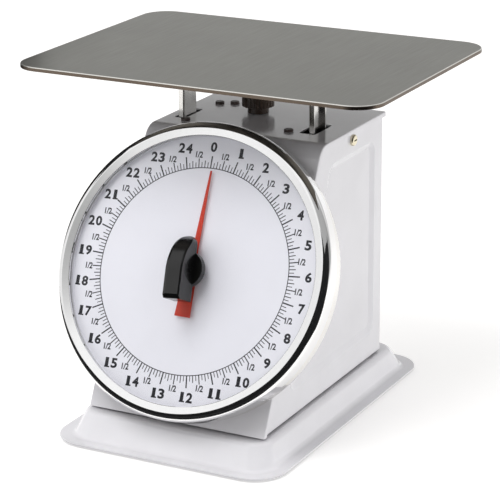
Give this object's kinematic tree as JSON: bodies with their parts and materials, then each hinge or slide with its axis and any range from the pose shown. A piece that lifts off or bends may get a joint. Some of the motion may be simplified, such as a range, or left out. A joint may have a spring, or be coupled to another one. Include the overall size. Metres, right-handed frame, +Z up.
{
  "type": "mechanical dial platform scale",
  "caption": "Spring weighing scale: a flat platform on two posts above a wedge-shaped case, with a leaning round dial, pointer, dial-turning lever knob and zero adjuster.",
  "frame": {"origin": "on the table, under the middle of the base pan, which is also under the middle of the platform's width", "axes": "+Z up; the dial faces -Y and leans back; +X to the right seen from the dial side, along the platform's longer side"},
  "size_m": [0.285, 0.2688, 0.2645],
  "materials": {
    "white_enamel": "gloss white enamel",
    "chrome_trim": "polished",
    "drum_metal": "polished",
    "stainless": "brushed",
    "post_steel": "brushed",
    "frame_steel": "plain steel",
    "zinc_screws": "bright zinc",
    "dark_screws": "blackened",
    "brass_parts": "turned",
    "feet_rubber": "matt",
    "dial_print": "satin white",
    "rim_white": "satin",
    "lens_clear": "clear",
    "knob_black": "gloss black",
    "pointer_red": "red paint",
    "hub_dark": "satin black",
    "spring_steel": "oiled",
    "damper_alloy": "turned"
  },
  "bodies": {
    "case": {"base_pan": "white_enamel", "rubber_feet": "feet_rubber", "case_wrap": "white_enamel", "left_side_panel": "white_enamel", "right_side_panel": "white_enamel", "rear_cover": "white_enamel", "rear_screws": "zinc_screws", "side_screws": "zinc_screws", "case_spacers": "frame_steel", "top_screws": "dark_screws", "bezel_ring": "chrome_trim", "dial_drum": "drum_metal", "drum_screws": "zinc_screws", "dial_bearing": "brass_parts", "left_frame_plate": "frame_steel", "right_frame_plate": "frame_steel", "frame_bridge": "frame_steel", "front_bar": "frame_steel", "spindle_bridge": "frame_steel", "spindle_bushes": "brass_parts", "link_rods": "zinc_screws", "bar_guides": "zinc_screws", "damper_cylinder": "damper_alloy", "damper_cap": "brass_parts", "left_spring": "spring_steel", "right_spring": "spring_steel"},
    "zero_adjuster": {"zero_knob": "hub_dark", "zero_screw": "zinc_screws"},
    "spring_hanger": {"spring_bar": "frame_steel", "upper_anchors": "zinc_screws"},
    "load_carrier": {"left_post": "post_steel", "right_post": "post_steel", "carrier_plate": "frame_steel", "carrier_rivets": "zinc_screws", "tie_plate": "frame_steel", "damper_rod": "zinc_screws", "link_pins": "zinc_screws", "rack": "brass_parts", "rack_bracket": "frame_steel", "lower_anchors": "zinc_screws", "platform_support": "frame_steel"},
    "platform": {"platform_plate": "stainless", "platform_rails": "stainless"},
    "pointer_train": {"pointer": "pointer_red", "pointer_hub": "hub_dark", "spindle": "zinc_screws", "pinion": "brass_parts"},
    "turning_dial": {"dial_plate": "dial_print", "dial_rim": "rim_white", "lens": "lens_clear", "tare_knob": "knob_black", "knob_stud": "brass_parts"},
    "upper_link": {"upper_check_link": "frame_steel"},
    "lower_link": {"lower_check_link": "frame_steel"}
  },
  "joints": [
    {"name": "weigh_slide", "type": "slide", "parent": "case", "child": "load_carrier", "axis": [0, 0, -1], "range_m": [0, 0.01883], "stiffness_N_per_m": 5900, "springref_m": -0.0017, "deforming": ["left_spring", "right_spring"]},
    {"name": "platform_lift", "type": "slide", "parent": "load_carrier", "child": "platform", "axis": [0, 0, 1], "range_m": [0, 0.04]},
    {"name": "pointer_turn", "type": "hinge", "parent": "case", "child": "pointer_train", "pos_m": [0, -0.0827, 0.1299], "axis": [0, -0.9011, 0.4337], "range_deg": [-360.5, 0.5]},
    {"name": "dial_turn", "type": "hinge", "parent": "case", "child": "turning_dial", "pos_m": [0, -0.0827, 0.1299], "axis": [0, -0.9011, 0.4337], "continuous": true},
    {"name": "zero_turn", "type": "hinge", "parent": "case", "child": "zero_adjuster", "pos_m": [-0.0135, 0.0524, 0.215], "axis": [0, 0, 1], "range_deg": [-361, 361]},
    {"name": "hanger_slide", "type": "slide", "parent": "case", "child": "spring_hanger", "axis": [0, 0, 1], "range_m": [-0.001, 0.001]},
    {"name": "upper_link_swing", "type": "hinge", "parent": "case", "child": "upper_link", "pos_m": [0, 0.082, 0.15], "axis": [1, 0, 0], "range_deg": [-0.5, 20.21]},
    {"name": "lower_link_swing", "type": "hinge", "parent": "case", "child": "lower_link", "pos_m": [0, 0.082, 0.07], "axis": [1, 0, 0], "range_deg": [-0.5, 20.21]}
  ],
  "couplings": [
    {"joint": "pointer_turn", "follows": "weigh_slide", "rad_per_m": -333.73},
    {"joint": "upper_link_swing", "follows": "weigh_slide", "rad_per_m": 18.272},
    {"joint": "lower_link_swing", "follows": "weigh_slide", "rad_per_m": 18.272},
    {"joint": "zero_turn", "follows": "hanger_slide", "rad_per_m": -6283.2}
  ]
}
